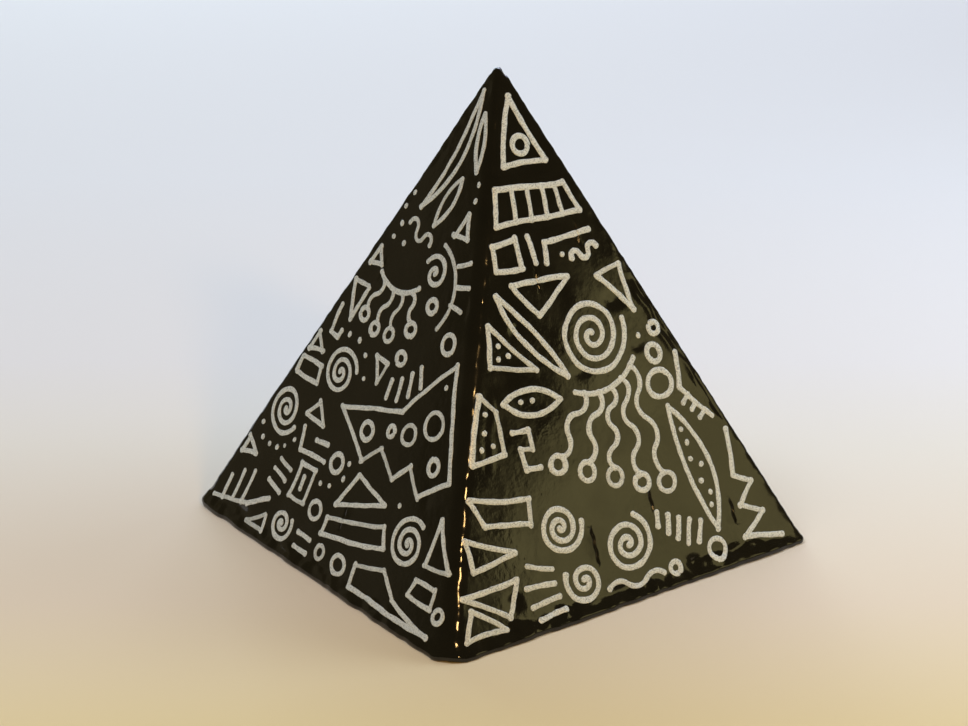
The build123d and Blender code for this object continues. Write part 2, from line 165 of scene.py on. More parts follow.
def add(tree, kind, inputs=None, stops=(), **settings):
    """Adds a node with its settings and a ramp's stops, and sets or links its inputs."""
    made = tree.nodes.new(kind)
    for key, value in settings.items():
        setattr(made, key, value)
    for number, (position, value) in enumerate(stops):
        if number > 1:
            made.color_ramp.elements.new(1.0)
        stop = made.color_ramp.elements[number]
        stop.position = position
        stop.color = linear(value) if isinstance(value, str) else (value, value, value, 1.0)
    for key, value in (inputs or {}).items():
        if isinstance(value, bpy.types.Node):
            value = value.outputs[0]
        if isinstance(value, bpy.types.NodeSocket):
            tree.links.new(value, made.inputs[key])
        else:
            made.inputs[key].default_value = value
    return made


def new_material(name):
    """An empty material with its shader and the object's own coordinates."""
    material = bpy.data.materials.new(name)
    material.use_nodes = True
    tree = material.node_tree
    tree.nodes.clear()
    shader = add(tree, "ShaderNodeBsdfPrincipled")
    add(tree, "ShaderNodeOutputMaterial", {"Surface": shader})
    place = add(tree, "ShaderNodeTexCoord").outputs["Object"]
    return material, tree, shader, place


# End grain of lime, fine and pale: growth rings 2 to 3 mm apart, closely set pores,
# and faint saw marks that the sanding left.
RING_SPACING = 2.6 * MM
PORE_SPACING = 0.35 * MM
SAW_SPACING = 1.3 * MM
WAVE = 0.314                      # a wave texture of scale 1 repeats at this distance
lime_end_grain, tree, shader, place = new_material("lime_end_grain")
heart = add(tree, "ShaderNodeMapping", {"Vector": place, "Location": (0.031, 0.052, 0)})
rings = add(tree, "ShaderNodeTexWave", {
    "Vector": heart, "Scale": WAVE / RING_SPACING, "Distortion": 2.2,
    "Detail": 3.0, "Detail Scale": 0.6, "Detail Roughness": 0.6,
}, wave_type="RINGS", rings_direction="Z", wave_profile="SAW")
ring_tint = add(tree, "ShaderNodeValToRGB", {"Fac": rings.outputs["Fac"]},
                stops=[(0.0, "#c9a878"), (0.7, "#bd9763"), (1.0, "#a67f4d")])
pores = add(tree, "ShaderNodeTexNoise", {"Vector": place, "Scale": 1 / PORE_SPACING, "Detail": 2.0})
pore_depth = add(tree, "ShaderNodeValToRGB", {"Fac": pores}, stops=[(0.42, 0.0), (0.62, 0.35)])
saw = add(tree, "ShaderNodeTexWave", {
    "Vector": place, "Scale": WAVE / SAW_SPACING, "Distortion": 1.2, "Detail": 2.0,
}, wave_type="BANDS", bands_direction="DIAGONAL")
tint = add(tree, "ShaderNodeMix", {
    "Factor": pore_depth, "A": ring_tint, "B": linear("#8e6b41"),
}, data_type="RGBA")
height = add(tree, "ShaderNodeMath", {0: pores, 1: saw.outputs["Fac"]}, operation="ADD")
bump = add(tree, "ShaderNodeBump", {"Height": height, "Strength": 0.5, "Distance": 0.06 * MM})
tree.links.new(tint.outputs["Result"], shader.inputs["Base Color"])
tree.links.new(bump.outputs["Normal"], shader.inputs["Normal"])
shader.inputs["Roughness"].default_value = 0.72

WOOD_GAP = 0.05 * MM              # between wood and coat, so that neither pokes through the other
points, _, _ = block_rows(COAT + WOOD_GAP, across=24, around=3, down_rows=40)
under_rows = [points[-1] * [s, s, 1] for s in (0.9, 0.75, 0.55, 0.3, 0.1)]
rows = np.concatenate([points, under_rows])
top_pole = rows[0].mean(0) + [0, 0, 0.1 * MM]
wood_block = closed_mesh("wood_block", rows, top_pole, rows[-1].mean(0), lime_end_grain)
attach(wood_block, "root")
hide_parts("wood_core")

# ------------------------------------------------------------------ the lacquer coat
# Several brushed coats of gloss black enamel, thick enough to pool in a soft, uneven
# lip along the base edge and to sag into shallow hollows. Where the wood has opened
# along its grain the coat has split in short hairlines. It laps under the base.
BARE_HALF = 39.0 * MM             # half the unpainted square under the base
BARE_CORNER = 2 * MM              # how round its corners are
ACROSS, AROUND, DOWN = 100, 8, 176  # points across a side and round an edge, and rows down
LAP_ROWS = 7
SLANT = 107.8                     # height of a side measured along it, in mm
EDGE_REACH = 1.6                  # how far brush marks reach in from an edge, in mm
LIP_TOP = 3.1                     # mean height of the upper edge of the lip, in mm
LIP_HEIGHT = 2.9                  # over which the lip swells out, in mm
LIP_ROLL = 0.68                   # how far it swells out, in mm

# Smooth waves, as their size, height and place in the noise, in mm: the hollows and brush
# marks of a side, the wander of the lip's upper edge, its roll, and the marks on an edge.
SKIN_WAVES = ((24.0, 0.075, (0, 0, 0)), (6.5, 0.020, (7, 3, 1)), (2.4, 0.005, (1, 9, 4)))
LIP_WANDER = ((8.0, 1.4, (3, 3, 8)), (2.2, 1.1, (6, 2, 8)))
ROLL_WAVES = ((5.0, 0.36, (9, 4, 2)),)
EDGE_WAVES = ((2.0, 0.12, (2, 8, 5)), (1.0, 0.05, (0, 0, 0)))

# Hairline splits, as the side, place across, lowest and highest point and depth in mm.
SPLITS = (
    (0, -6.2, 10.0, 15.6, 0.30),
    (0, 9.4, 16.6, 19.2, 0.22),
    (0, 8.0, 70.2, 73.4, 0.25),
    (0, -4.0, 63.6, 66.2, 0.20),
    (0, 28.4, 9.0, 12.6, 0.22),
    (1, 12.0, 30.0, 35.0, 0.26),
    (1, -18.0, 8.0, 12.6, 0.24),
    (2, 6.0, 41.0, 47.0, 0.28),
    (2, -21.0, 12.0, 17.0, 0.24),
    (3, 2.4, 12.6, 16.0, 0.20),
    (3, -12.0, 60.6, 63.0, 0.20),
)
# Dents and puddles, as the side, place, half sizes across and up, and depth in mm.
DENTS = (
    (0, 16.0, 3.4, 1.7, 1.5, 0.30),
    (0, -27.0, 7.6, 1.2, 1.6, 0.20),
    (0, 12.6, 57.4, 2.6, 1.6, 0.16),
    (0, -11.6, 56.6, 1.6, 1.2, 0.14),
    (0, 0.6, 45.6, 2.6, 1.0, 0.10),
    (0, 26.5, 3.0, 2.2, 1.4, 0.22),
    (0, -3.0, 3.2, 4.0, 1.6, 0.16),
    (0, 15.6, 47.6, 1.8, 0.8, 0.16),
    (1, -4.0, 5.0, 3.0, 1.6, 0.2),
    (1, 20.0, 30.0, 2.0, 1.4, 0.14),
    (2, 10.0, 18.0, 2.4, 1.4, 0.16),
    (2, -14.0, 4.0, 3.0, 1.5, 0.2),
    (3, -30.0, 4.0, 2.6, 1.4, 0.2),
    (3, 16.0, 62.0, 1.6, 2.4, 0.14),
    (3, 24.0, 26.0, 1.4, 2.0, 0.12),
)

# Folds where the drying skin wrinkled, as the side, their two ends and height in mm.
FOLDS = (
    (0, 16.8, 60.5, 31.6, 28.5, 0.16),
    (0, -24.5, 31.5, -20.5, 47.0, 0.05),
    (1, -30.0, 30.0, -20.0, 50.0, 0.12),
    (2, 14.0, 62.0, 22.0, 45.0, 0.12),
    (3, -30.5, 30.0, -23.0, 46.0, 0.10),
)
# The worn tip: how high it stands, and its chips, as the middle, size and depth in mm.
TIP_TOP = 96.32 * MM
TIP_CHIPS = (
    (0.85, -0.62, 0.55, 0.75),
    (1.55, -1.15, 0.40, -0.30),
    (-0.75, 0.80, 0.50, 0.35),
    (0.5, 1.1, 0.45, 0.30),
)


def waves_at(p, waves, middle=0.0):
    """Height of waves about their middle at a point, in mm."""
    for size, high, shift in waves:
        middle += high * noise.noise(p / size + Vector(shift))
    return middle


def split_line(x, low, y):
    """Where a split wanders to at each height."""
    return x + 0.12 * np.sin(y * 2.3) + 0.03 * (y - low)


def split_columns(spot, rise, side):
    """Brings three columns of points together along each split, so that it has an edge."""
    spot = spot.copy()
    for k, x, low, high, _ in SPLITS:
        of_side = np.flatnonzero(side == k)[:ACROSS]
        low, high, x = low * MM, high * MM, x * MM
        heights = rise[:, of_side[ACROSS // 2]]
        rows = np.flatnonzero((heights > low - 3 * MM) & (heights < high + 3 * MM))
        middle = rows[len(rows) // 2]
        nearest = int(np.argmin(np.abs(spot[middle, of_side] - x)))
        for row in rows:
            y = rise[row, of_side[nearest]]
            near = float(np.clip(1 - max(low - y, y - high, 0) / (3 * MM), 0, 1))
            line = split_line(x / MM, low / MM, y / MM) * MM
            pull = line - spot[row, of_side[nearest]]
            steps = np.arange(ACROSS) - nearest
            spot[row, of_side] += pull * near * np.exp(-(steps / 6.0) ** 2)
            if 3 < nearest < ACROSS - 4 and near > 0.6:
                for step, width in ((1, 0.10), (2, 0.24), (3, 0.60)):
                    spot[row, of_side[nearest + step]] = line + width * MM
                    spot[row, of_side[nearest - step]] = line - width * MM
    return spot


def coat_relief(points, side, turn):
    """How far the coat stands off the sanded block at each point, in metres."""
    along = side_axes(side)[0]
    x = np.sum(points * along, -1) / MM
    y = points[..., 2] / math.sin(SLOPE) / MM
    relief = np.zeros(x.shape)
    for index in np.ndindex(x.shape):
        p = Vector(points[index] / MM)
        from_edge = max(HALF / MM - abs(x[index]) - y[index] * HALF / MM / SLANT, 0)
        on_edge = math.exp(-(from_edge / EDGE_REACH) ** 2)
        lip = min(max((waves_at(p, LIP_WANDER, LIP_TOP) - p.z) / LIP_HEIGHT, 0), 1)
        relief[index] = (
            waves_at(p, SKIN_WAVES)
            + lip * waves_at(p, ROLL_WAVES, LIP_ROLL)
            + on_edge * waves_at(p, EDGE_WAVES)
        )
    for k, dx, dy, wide, tall, deep in DENTS:
        bowl = ((x - dx) / wide) ** 2 + ((y - dy) / tall) ** 2
        relief -= np.where((side == k) & (turn == 0), deep * np.exp(-bowl * 1.5), 0)
    for k, dx, low, high, deep in SPLITS:
        off = x - split_line(dx, low, y)
        ends = np.clip(np.minimum(y - low, high - y) / 0.8 + 1, 0, 1)
        groove = np.exp(-(off / 0.08) ** 2) * deep - 0.03 * np.exp(-((np.abs(off) - 0.26) / 0.10) ** 2)
        relief -= np.where((side == k) & (turn == 0), groove * ends, 0)
    for k, x1, y1, x2, y2, high in FOLDS:
        long = math.hypot(x2 - x1, y2 - y1)
        off = ((x - x1) * (y2 - y1) - (y - y1) * (x2 - x1)) / long
        at = ((x - x1) * (x2 - x1) + (y - y1) * (y2 - y1)) / long
        off = off + 0.5 * np.sin(at / 2.9) + 0.25 * np.sin(at / 1.1 + 1)
        ends = np.clip(np.minimum(at, long - at) / 4, 0, 1)
        fold = high * (np.exp(-(off / 0.55) ** 2) - 0.8 * np.exp(-((off + 1.1) / 0.5) ** 2))
        relief += np.where((side == k) & (turn == 0), fold * ends * (0.7 + 0.3 * np.sin(at / 1.7)), 0)
    return relief * MM


points, facings, side = block_rows(0.0, ACROSS, AROUND, DOWN, tip_rows=10, shift=split_columns)
_, across_share, edge_turn = block_columns(ACROSS, AROUND)
edge_turn = edge_turn[:, 0]
relief = coat_relief(points, side, edge_turn)
points = points + relief[..., None] * facings
points[..., 2] = np.minimum(points[..., 2], TIP_TOP + 0.04 * MM * np.sin(points[..., 0] / MM * 9))
for cx, cy, wide, deep in TIP_CHIPS:
    bowl = ((points[..., 0] / MM - cx) ** 2 + (points[..., 1] / MM - cy) ** 2) / wide ** 2
    points[..., 2] -= deep * MM * np.exp(-bowl) * np.clip((points[..., 2] / MM - 92) / 3, 0, 1)
points[..., 2] = np.maximum(points[..., 2], 0)

window = []
for k, share, turn in zip(side, across_share, edge_turn):
    along, out, _ = side_axes(np.array(float(k)))
    spread = BARE_HALF - BARE_CORNER
    corner = BARE_CORNER * np.array([math.sin(turn * math.pi / 2), math.cos(turn * math.pi / 2)])
    at = along * ((2 * share - 1) * spread + (corner[0] if share == 1 else 0)) + out * (spread + corner[1])
    ragged = 1 + 0.02 * noise.noise(Vector(at / MM / 6)) + 0.008 * noise.noise(Vector(at / MM / 1.7))
    window.append(at * ragged)
window = np.array(window)
edge = points[-1]
lap = [edge + (window - edge) * t for t in np.linspace(0, 1, LAP_ROWS)[1:]]
for row in lap:
    row[:, 2] = np.maximum(row[:, 2], 0)
lip = [window * [s, s, 1] + [0, 0, z * MM] for s, z in ((0.998, 0.10), (0.9965, 0.25), (0.9975, 0.40))]
under, _, _ = block_rows(COAT, ACROSS, AROUND, 9, tip_rows=3, foot_rows=3)
inside = list(under[::-1])
rows = np.concatenate([points, lap, lip, inside])
first = points[0].mean(0) + [0, 0, 0.02 * MM]
last = under[0].mean(0)

# Gloss enamel, brushed on thick: a deep warm black with an orange-peel skin and dust
# nibs, and a patchy shine where the varnish over it ran thin. The nibs and the peel
# are too fine for the mesh and are in the bump.
PEEL = 1.4 * MM
NIB_SPACING = 2.6 * MM
PATCH = 9.0 * MM
black_enamel, tree, shader, place = new_material("black_gloss_enamel")
peel = add(tree, "ShaderNodeTexNoise", {
    "Vector": place, "Scale": 1 / PEEL, "Detail": 3.0, "Roughness": 0.55,
})
nibs = add(tree, "ShaderNodeTexVoronoi", {"Vector": place, "Scale": 1 / NIB_SPACING, "Randomness": 1.0})
nib = add(tree, "ShaderNodeValToRGB", {"Fac": nibs.outputs["Distance"]}, stops=[(0.0, 1.0), (0.10, 0.0)])
patch = add(tree, "ShaderNodeTexNoise", {
    "Vector": place, "Scale": 1 / PATCH, "Detail": 5.0, "Roughness": 0.6,
})
shine = add(tree, "ShaderNodeValToRGB", {"Fac": patch}, stops=[(0.40, 0.05), (0.64, 0.15)])
tint = add(tree, "ShaderNodeValToRGB", {"Fac": patch}, stops=[(0.35, "#080604"), (0.65, "#100d08")])
height = add(tree, "ShaderNodeMath", {0: nib, 1: 0.6, 2: peel}, operation="MULTIPLY_ADD")
bump = add(tree, "ShaderNodeBump", {"Height": height, "Strength": 0.35, "Distance": 0.05 * MM})
tree.links.new(tint.outputs["Color"], shader.inputs["Base Color"])
tree.links.new(shine.outputs["Color"], shader.inputs["Roughness"])
tree.links.new(bump.outputs["Normal"], shader.inputs["Normal"])
shader.inputs["IOR"].default_value = 1.52

lacquer_coat = closed_mesh("lacquer_coat", rows, first, last, black_enamel)
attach(lacquer_coat, "root")
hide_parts("black_lacquer")

# ------------------------------------------------------------------ the front drawing
# Silver-white paint marker with a worn round tip, drawn by hand on the hard lacquer:
# a spiral over a five-tassel fringe, with a ladder and a ringed triangle above. Each
# straight side is a pull of its own, so corners cross, and pulls begin and end in blobs.
LINE_WIDTH = 1.12 * MM
LINE_HEIGHT = 0.06 * MM
DOT_WIDTH = 1.1                   # of a dabbed dot, in mm like all drawing sizes
hand = np.random.default_rng(11)


def pull(points):
    """One pull of the pen, longer by half its width at both ends for the round tip."""
    points = np.array(points, float)
    for end, after in ((0, 1), (-1, -2)):
        reach = points[end] - points[after]
        points[end] += reach / np.hypot(*reach) * (LINE_WIDTH / MM / 2 + hand.uniform(-0.05, 0.25))
    return [points]


def arc(x1, y1, x2, y2, rise):
    """Points along a round arc whose middle stands off to the left by rise."""
    chord = math.hypot(x2 - x1, y2 - y1)
    half = 2 * math.atan2(2 * rise, chord)
    t = np.linspace(-1, 1, max(5, int(chord / 0.4)))
    radius = chord / 2 / math.sin(half)
    along, off = radius * np.sin(half * t), radius * (np.cos(half * t) - math.cos(half))
    u = np.array([x2 - x1, y2 - y1]) / chord
    return [(x1 + x2) / 2, (y1 + y2) / 2] + np.outer(along, u) + np.outer(off, [-u[1], u[0]])


def bar(x1, y1, x2, y2):
    """A short straight pull with a slight bend."""
    return pull(arc(x1, y1, x2, y2, hand.uniform(-0.03, 0.03) * math.hypot(x2 - x1, y2 - y1) or 0.01))


def path(*points):
    """A run of straight pulls, each begun where the last one ended."""
    pulls = []
    for a, b in zip(points, points[1:]):
        pulls += bar(*(a + hand.normal(0, 0.10, 2)), *(b + hand.normal(0, 0.10, 2)))
    return pulls


def loop(*points):
    return path(*points, points[0])


def bow(x1, y1, x2, y2, rise):
    return pull(arc(x1, y1, x2, y2, rise))


def leaf(x1, y1, x2, y2, rise_out, rise_back):
    """Two bowed pulls between the same tips."""
    return bow(x1, y1, x2, y2, rise_out) + bow(x2, y2, x1, y1, rise_back)


def wave_line(x1, y1, x2, y2, bends, rise):
    """Points along bends to the left and the right in turn."""
    ends = np.linspace((x1, y1), (x2, y2), bends + 1)
    runs = [arc(*ends[i], *ends[i + 1], rise * (-1) ** i)[i > 0:] for i in range(bends)]
    return np.concatenate(runs)


def wave(x1, y1, x2, y2, bends, rise):
    return pull(wave_line(x1, y1, x2, y2, bends, rise))


def ring(x, y, radius):
    """Once round and a little over, not quite meeting."""
    turn = hand.uniform(0, 360) + np.linspace(0, 372, max(16, int(radius * 14)))
    wide = radius * (1 + np.linspace(0.03, -0.03, len(turn)))
    squeeze = hand.uniform(-0.05, 0.05)
    c, s = np.cos(np.radians(turn)), np.sin(np.radians(turn))
    return [np.stack([x + wide * (1 + squeeze) * c, y + wide * (1 - squeeze) * s], -1)]


def tassel(x1, y1, x2, y2, bends, rise, radius):
    """A wavy pull that runs down into a ring."""
    long = math.hypot(x2 - x1, y2 - y1)
    centre = (x2 + (x2 - x1) * radius / long, y2 + (y2 - y1) * radius / long)
    return wave(x1, y1, x2, y2, bends, rise) + ring(*centre, radius)


def spiral(x, y, radius, turns, heading, hand_side=1):
    """Evenly opening turns that end in the direction of heading."""
    t = np.linspace(0.04, 1, int(turns * 40)) ** 0.95
    angle = math.radians(heading) - hand_side * 2 * math.pi * turns * (1 - t)
    return pull(np.stack([x + radius * t * np.cos(angle), y + radius * t * np.sin(angle)], -1))


def rays(x, y, count, inner, outer, first):
    """Short bars that point away from a centre."""
    bars = []
    for i in range(count):
        turn = math.radians(first) + 2 * math.pi * i / count
        c, s = math.cos(turn), math.sin(turn)
        bars += [bar(x + inner * c, y + inner * s, x + outer * c, y + outer * s)]
    return bars


def joined(*marks):
    """Marks that run into each other."""
    return [line for mark in marks for line in mark]


def dot(x, y):
    """A dab of the tip, hardly dragged."""
    angle, drag = hand.uniform(0, math.pi), DOT_WIDTH / 2 * hand.uniform(0.95, 1.15)
    step = np.array([math.cos(angle), math.sin(angle)]) * drag
    return [np.array([(x, y) - step, (x, y) + step])]


# The pen line: it sways and trembles, swells at its ends, and lies on the coat as a
# low dome with round ends.
PEN_STEP = 0.16 * MM
SWAY_SIZE = 13 * MM
TREMOR_SIZE = 3.2 * MM
FLOW_SIZE = 2.2 * MM
SWAY, TREMOR = 0.22 * MM, 0.07 * MM
BLOB_LENGTH, BLOB_WIDTH = 1.5 * MM, 1.15   # of the blob at each end, its width in line widths
THINNEST = 0.03 * MM
HOVER = 6 * MM                    # height over the slope from which lines drop onto the coat
FIELD_REACH = 0.25                # how far a noise field strays from its middle
line_tree = bpy.data.node_groups.new("marker_line", "GeometryNodeTree")
LINE_INPUTS = {
    "Geometry": "NodeSocketGeometry", "Skin": "NodeSocketObject", "Foot": "NodeSocketVector",
    "Along": "NodeSocketVector", "Up": "NodeSocketVector", "Outward": "NodeSocketVector",
    "Line width": "NodeSocketFloat", "Line height": "NodeSocketFloat", "Sway": "NodeSocketFloat",
    "Tremor": "NodeSocketFloat", "Seed": "NodeSocketInt", "Paint": "NodeSocketMaterial",
}
line_sockets = {}
for name, kind in LINE_INPUTS.items():
    line_sockets[name] = line_tree.interface.new_socket(name, in_out="INPUT", socket_type=kind).identifier
line_tree.interface.new_socket("Geometry", in_out="OUTPUT", socket_type="NodeSocketGeometry")
given = add(line_tree, "NodeGroupInput").outputs


def shaken(tree, seed, size, amount):
    """A level offset that changes smoothly over the given size, and rarely passes the amount."""
    spot = add(tree, "GeometryNodeInputPosition")
    deep = add(tree, "ShaderNodeCombineXYZ", {"Z": seed})
    where = add(tree, "ShaderNodeVectorMath", {0: spot, 1: deep}, operation="ADD")
    field = add(tree, "ShaderNodeTexNoise", {"Vector": where, "Scale": 1 / size, "Detail": 0.0})
    colour = field.outputs["Color"]
    centred = add(tree, "ShaderNodeVectorMath", {0: colour, 1: (0.5, 0.5, 0.5)}, operation="SUBTRACT")
    flat = (1 / FIELD_REACH, 1 / FIELD_REACH, 0)
    level = add(tree, "ShaderNodeVectorMath", {0: centred, 1: flat}, operation="MULTIPLY")
    return add(tree, "ShaderNodeVectorMath", {0: level, "Scale": amount}, operation="SCALE")


# Along the pen's way.
pen = add(line_tree, "GeometryNodeResampleCurve", {
    "Curve": given["Geometry"], "Length": PEN_STEP,
}, mode="LENGTH")
level = add(line_tree, "GeometryNodeSetCurveNormal", {"Curve": pen}, mode="Z_UP")
sway = shaken(line_tree, given["Seed"], SWAY_SIZE, given["Sway"])
tremor = shaken(line_tree, given["Seed"], TREMOR_SIZE, given["Tremor"])
offset = add(line_tree, "ShaderNodeVectorMath", {0: sway, 1: tremor}, operation="ADD")
swayed = add(line_tree, "GeometryNodeSetPosition", {"Geometry": level, "Offset": offset})
pull_number = add(line_tree, "GeometryNodeInputIndex")
chance = add(line_tree, "FunctionNodeRandomValue", {
    "ID": pull_number, "Seed": given["Seed"],
}, data_type="FLOAT")
chosen = add(line_tree, "GeometryNodeStoreNamedAttribute", {
    "Geometry": swayed, "Name": "pull", "Value": chance.outputs[1],
}, domain="CURVE", data_type="FLOAT")

# Its width: half a line, rounded off at both ends, with a blob there, and uneven.
so_far = add(line_tree, "GeometryNodeSplineParameter").outputs["Length"]
whole = add(line_tree, "GeometryNodeSplineLength")
left_over = add(line_tree, "ShaderNodeMath", {0: whole, 1: so_far}, operation="SUBTRACT")
to_end = add(line_tree, "ShaderNodeMath", {0: so_far, 1: left_over}, operation="MINIMUM")
half_width = add(line_tree, "ShaderNodeMath", {0: given["Line width"], 1: 0.5}, operation="MULTIPLY")
share = add(line_tree, "ShaderNodeMath", {0: to_end, 1: half_width}, operation="DIVIDE", use_clamp=True)
rest = add(line_tree, "ShaderNodeMath", {0: 2.0, 1: share}, operation="SUBTRACT")
squared = add(line_tree, "ShaderNodeMath", {0: rest, 1: share}, operation="MULTIPLY")
dome = add(line_tree, "ShaderNodeMath", {0: squared}, operation="SQRT")
blob = add(line_tree, "ShaderNodeMapRange", {
    "Value": to_end, "From Min": 0.3 * MM, "From Max": BLOB_LENGTH, "To Min": BLOB_WIDTH, "To Max": 1.0,
}, interpolation_type="SMOOTHSTEP")
flow = add(line_tree, "ShaderNodeTexNoise", {"Scale": 1 / FLOW_SIZE, "Detail": 2.0})
uneven = add(line_tree, "ShaderNodeMapRange", {
    "Value": flow, "From Min": 0.3, "From Max": 0.7, "To Min": 0.86, "To Max": 1.12,
})
own = add(line_tree, "GeometryNodeInputNamedAttribute", {"Name": "pull"}, data_type="FLOAT")
pressed = add(line_tree, "ShaderNodeMapRange", {"Value": own, "To Min": 0.86, "To Max": 1.08})
width = half_width
for factor in (uneven, pressed, blob, dome):
    width = add(line_tree, "ShaderNodeMath", {0: width, 1: factor}, operation="MULTIPLY")
width = add(line_tree, "ShaderNodeMath", {0: width, 1: THINNEST}, operation="MAXIMUM")

# Its section: a round tip pressed flat, swept along the way.
flat = add(line_tree, "ShaderNodeMath", {0: given["Line height"], 1: half_width}, operation="DIVIDE")
squash = add(line_tree, "ShaderNodeCombineXYZ", {"X": 1.0, "Y": flat, "Z": 1.0})
tip = add(line_tree, "GeometryNodeCurvePrimitiveCircle", {"Resolution": 10, "Radius": 1.0})
pressed_tip = add(line_tree, "GeometryNodeTransform", {"Geometry": tip, "Scale": squash})
line = add(line_tree, "GeometryNodeCurveToMesh", {
    "Curve": chosen, "Profile Curve": pressed_tip, "Scale": width, "Fill Caps": True,
})

# From the flat drawing to a height above the slope, then straight down onto the coat.
spot = add(line_tree, "ShaderNodeSeparateXYZ", {0: add(line_tree, "GeometryNodeInputPosition")}).outputs
over = given["Foot"]
for direction, distance in (("Along", spot["X"]), ("Up", spot["Y"]), ("Outward", HOVER)):
    step = add(line_tree, "ShaderNodeVectorMath", {
        0: given[direction], "Scale": distance,
    }, operation="SCALE")
    over = add(line_tree, "ShaderNodeVectorMath", {0: over, 1: step}, operation="ADD")
inward = add(line_tree, "ShaderNodeVectorMath", {0: given["Outward"], "Scale": -1.0}, operation="SCALE")
skin = add(line_tree, "GeometryNodeObjectInfo", {"Object": given["Skin"]})
landed = add(line_tree, "GeometryNodeRaycast", {
    "Target Geometry": skin.outputs["Geometry"], "Source Position": over, "Ray Direction": inward,
})
raised = add(line_tree, "ShaderNodeVectorMath", {
    0: given["Outward"], "Scale": spot["Z"],
}, operation="SCALE")
final = add(line_tree, "ShaderNodeVectorMath", {
    0: landed.outputs["Hit Position"], 1: raised,
}, operation="ADD")
laid = add(line_tree, "GeometryNodeSetPosition", {"Geometry": line, "Position": final})
smooth = add(line_tree, "GeometryNodeSetShadeSmooth", {"Geometry": laid})
solid = add(line_tree, "GeometryNodeRealizeInstances", {"Geometry": smooth})
painted = add(line_tree, "GeometryNodeSetMaterial", {"Geometry": solid, "Material": given["Paint"]})
add(line_tree, "NodeGroupOutput", {0: painted})

# Aluminium flake in a pale binder, under a thin varnish: dull silver-white with a fine
# grey grain, and greyer where it lies thin, in soft patches and in some pulls more than others.
GRAIN = 0.28 * MM
CLOUD = 2.2 * MM
paint_marker, tree, shader, place = new_material("silver_white_paint_marker")
grain = add(tree, "ShaderNodeTexNoise", {
    "Vector": place, "Scale": 1 / GRAIN, "Detail": 2.0, "Roughness": 0.7,
})
cloud = add(tree, "ShaderNodeTexNoise", {"Vector": place, "Scale": 1 / CLOUD, "Detail": 2.0})
speck = add(tree, "ShaderNodeValToRGB", {"Fac": grain},
            stops=[(0.36, "#a9ada7"), (0.50, "#e6eae1"), (0.70, "#f0f3eb")])
own = add(tree, "ShaderNodeAttribute", attribute_name="pull").outputs["Fac"]
thick = add(tree, "ShaderNodeMath", {0: cloud, 1: own}, operation="ADD")
thin = add(tree, "ShaderNodeValToRGB", {"Fac": thick}, stops=[(0.45, 0.45), (0.90, 0.0)])
veil = add(tree, "ShaderNodeMix", {"Factor": thin, "A": speck, "B": linear("#a6a9a0")}, data_type="RGBA")
bump = add(tree, "ShaderNodeBump", {"Height": grain, "Strength": 0.4, "Distance": 0.03 * MM})
tree.links.new(veil.outputs["Result"], shader.inputs["Base Color"])
tree.links.new(bump.outputs["Normal"], shader.inputs["Normal"])
shader.inputs["Metallic"].default_value = 0.25
shader.inputs["Roughness"].default_value = 0.45
shader.inputs["Coat Weight"].default_value = 0.12
shader.inputs["Coat Roughness"].default_value = 0.15


def flat_lines(strokes):
    """Open curves on the flat side, in metres."""
    lines = bpy.data.curves.new("pen_lines", "CURVE")
    lines.dimensions = "3D"
    for stroke in strokes:
        line = lines.splines.new("POLY")
        line.points.add(len(stroke) - 1)
        for point, (x, y) in zip(line.points, stroke):
            point.co = (x * MM, y * MM, 0, 1)
    drawn = bpy.data.objects.new("pen_lines", lines)
    bpy.context.scene.collection.objects.link(drawn)
    return drawn


def draw_side(name, drawing, side, line_width=LINE_WIDTH):
    """Lays each kind of mark of one drawing on its side as a piece of its own."""
    along, out, square = side_axes(np.array(float(side)))
    up = np.cross(square, along)
    for kind, marks in drawing.items():
        drawn = flat_lines(joined(*marks))
        nodes = drawn.modifiers.new("marker_line", "NODES")
        nodes.node_group = line_tree
        values = {
            "Skin": lacquer_coat, "Foot": out * HALF, "Along": along, "Up": up, "Outward": square,
            "Line width": DOT_WIDTH * MM if kind == "dots" else line_width, "Line height": LINE_HEIGHT,
            "Sway": SWAY, "Tremor": TREMOR, "Seed": side, "Paint": paint_marker,
        }
        for key, value in values.items():
            nodes[line_sockets[key]] = value
        ready = drawn.evaluated_get(bpy.context.evaluated_depsgraph_get())
        mesh = bpy.data.meshes.new_from_object(ready)
        piece = bpy.data.objects.new(f"{name}_{kind}_paint", mesh)
        bpy.context.scene.collection.objects.link(piece)
        bpy.data.objects.remove(drawn)
        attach(piece, "root")
        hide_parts(f"{name}_{kind}")


